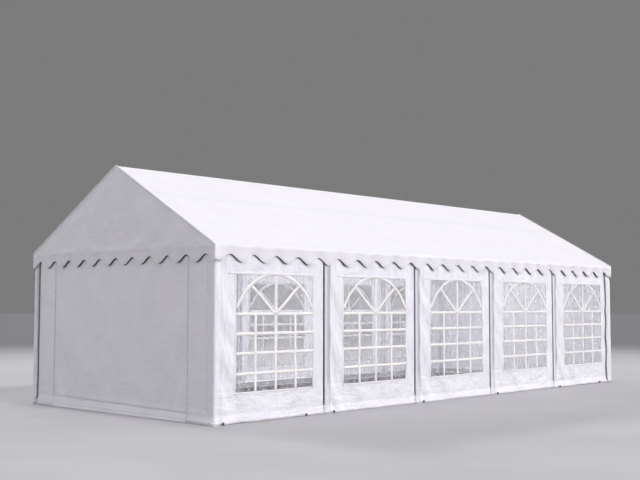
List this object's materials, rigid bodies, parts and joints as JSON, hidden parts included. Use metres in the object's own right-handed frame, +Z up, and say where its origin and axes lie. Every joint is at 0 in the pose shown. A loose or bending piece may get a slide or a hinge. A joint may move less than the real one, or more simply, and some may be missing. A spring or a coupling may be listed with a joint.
{
  "type": "marquee tent",
  "caption": "Gable-roofed marquee with windowed side panels, zipped end walls, scalloped valances and a steel tube frame.",
  "frame": {"origin": "on the ground at the middle of the footprint", "axes": "+Z up, ridge along Y, the front end wall faces -Y and the right side faces +X"},
  "size_m": [4.09, 10.09, 3.34],
  "materials": {
    "roof_cloth": "satin",
    "wall_cloth": "satin",
    "window_film": "gloss",
    "window_bars": "satin",
    "zip": "matte",
    "zinc_steel": "galvanised"
  },
  "bodies": {
    "root": {"back_door_panel": "wall_cloth", "back_wall": "wall_cloth", "base_rail_back": "zinc_steel", "base_rail_front": "zinc_steel", "base_rail_left": "zinc_steel", "base_rail_right": "zinc_steel", "eave_rail_left": "zinc_steel", "eave_rail_right": "zinc_steel", "front_door_panel": "wall_cloth", "front_wall": "wall_cloth", "gable_back": "roof_cloth", "gable_front": "roof_cloth", "leg_left_1": "zinc_steel", "leg_left_2": "zinc_steel", "leg_left_3": "zinc_steel", "leg_left_4": "zinc_steel", "leg_left_5": "zinc_steel", "leg_left_6": "zinc_steel", "leg_right_1": "zinc_steel", "leg_right_2": "zinc_steel", "leg_right_3": "zinc_steel", "leg_right_4": "zinc_steel", "leg_right_5": "zinc_steel", "leg_right_6": "zinc_steel", "ridge_bar_1": "zinc_steel", "ridge_bar_2": "zinc_steel", "ridge_bar_3": "zinc_steel", "ridge_bar_4": "zinc_steel", "ridge_bar_5": "zinc_steel", "roof_cover": "roof_cloth", "roof_truss_1": "zinc_steel", "roof_truss_2": "zinc_steel", "roof_truss_3": "zinc_steel", "roof_truss_4": "zinc_steel", "roof_truss_5": "zinc_steel", "roof_truss_6": "zinc_steel", "side_panel_left_1": "wall_cloth", "side_panel_left_2": "wall_cloth", "side_panel_left_3": "wall_cloth", "side_panel_left_4": "wall_cloth", "side_panel_left_5": "wall_cloth", "side_panel_right_1": "wall_cloth", "side_panel_right_2": "wall_cloth", "side_panel_right_3": "wall_cloth", "side_panel_right_4": "wall_cloth", "side_panel_right_5": "wall_cloth", "window_film_left_1": "window_film", "window_film_left_2": "window_film", "window_film_left_3": "window_film", "window_film_left_4": "window_film", "window_film_left_5": "window_film", "window_film_right_1": "window_film", "window_film_right_2": "window_film", "window_film_right_3": "window_film", "window_film_right_4": "window_film", "window_film_right_5": "window_film"}
  },
  "joints": []
}
